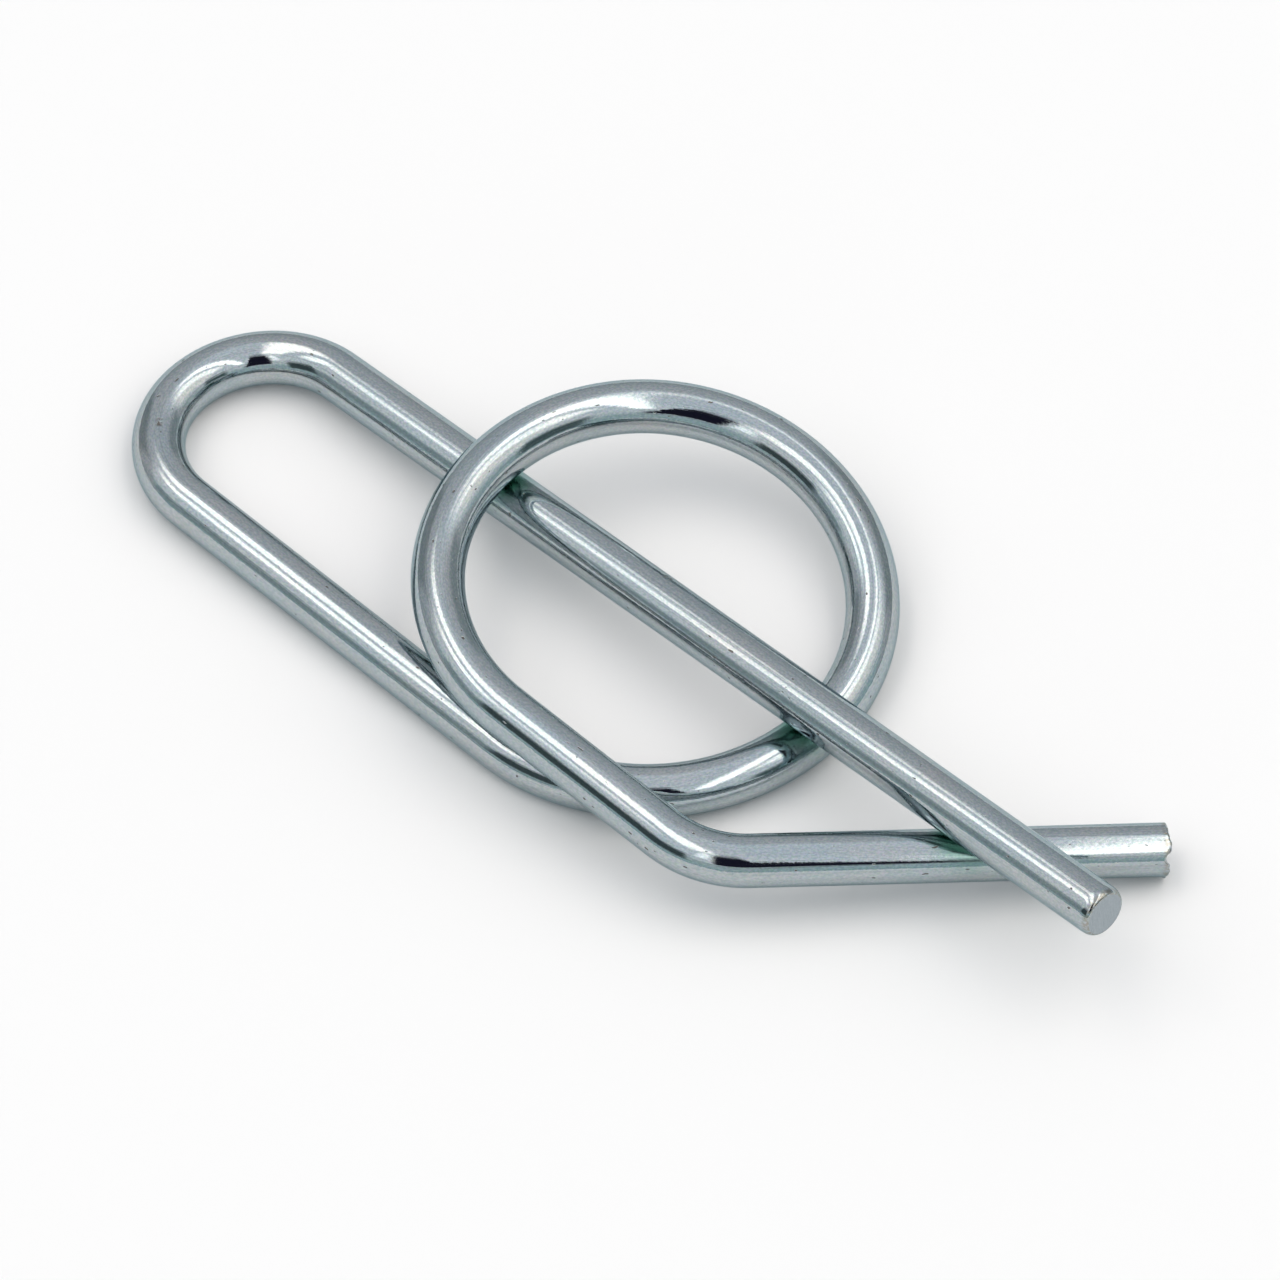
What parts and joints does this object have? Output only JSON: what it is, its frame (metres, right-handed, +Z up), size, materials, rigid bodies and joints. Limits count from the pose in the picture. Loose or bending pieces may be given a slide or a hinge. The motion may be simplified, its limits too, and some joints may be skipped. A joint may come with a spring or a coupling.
{
  "type": "ring cotter pin",
  "caption": "Bent spring-wire cotter pin: a straight leg for a cross hole, a hairpin, a ring that closes round the shaft and a tail that locks under the leg.",
  "frame": {"origin": "centre of the footprint, on the ground that the pin lies on", "axes": "+X along the return leg, from the hairpin towards the leg's tip; +Z up from the ground, the pin lying on its return leg"},
  "size_m": [0.0533, 0.0214, 0.0067],
  "materials": {
    "zinc_wire": "bright zinc plate over drawn spring-steel wire, with fine lengthwise die lines"
  },
  "bodies": {
    "root": {"cotter_pin": "zinc_wire"}
  },
  "joints": []
}
